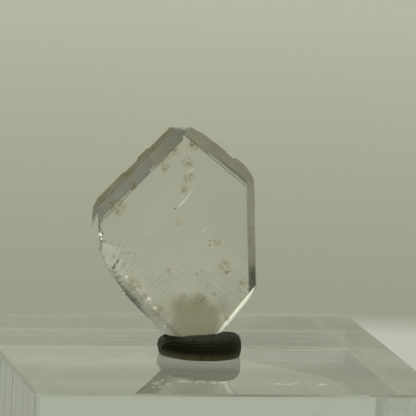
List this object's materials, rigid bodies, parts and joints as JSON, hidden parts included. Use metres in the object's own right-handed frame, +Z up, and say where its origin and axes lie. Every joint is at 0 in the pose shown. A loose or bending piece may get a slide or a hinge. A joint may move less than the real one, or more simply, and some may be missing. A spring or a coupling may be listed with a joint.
{
  "type": "japan law twin quartz",
  "caption": "Flat heart-shaped Japan-law twin of clear quartz, fixed upright in a pad of dark putty on a clear square acrylic display block",
  "frame": {"origin": "middle of the display block's underside, on the plane the block rests on", "axes": "+Z up; -Y is the front, the side the picture shows; +X is to the right seen from the front; the crystal's plate and the block's faces are square to the axes"},
  "size_m": [0.05, 0.05, 0.0531],
  "materials": {
    "quartz": "clear, with milky and iron-stained spots at the root",
    "putty": "soft near-black putty with pressed ridges",
    "acrylic": "clear and polished"
  },
  "bodies": {
    "root": {"crystal_twin": "quartz", "mounting_putty": "putty", "acrylic_block": "acrylic"}
  },
  "joints": []
}
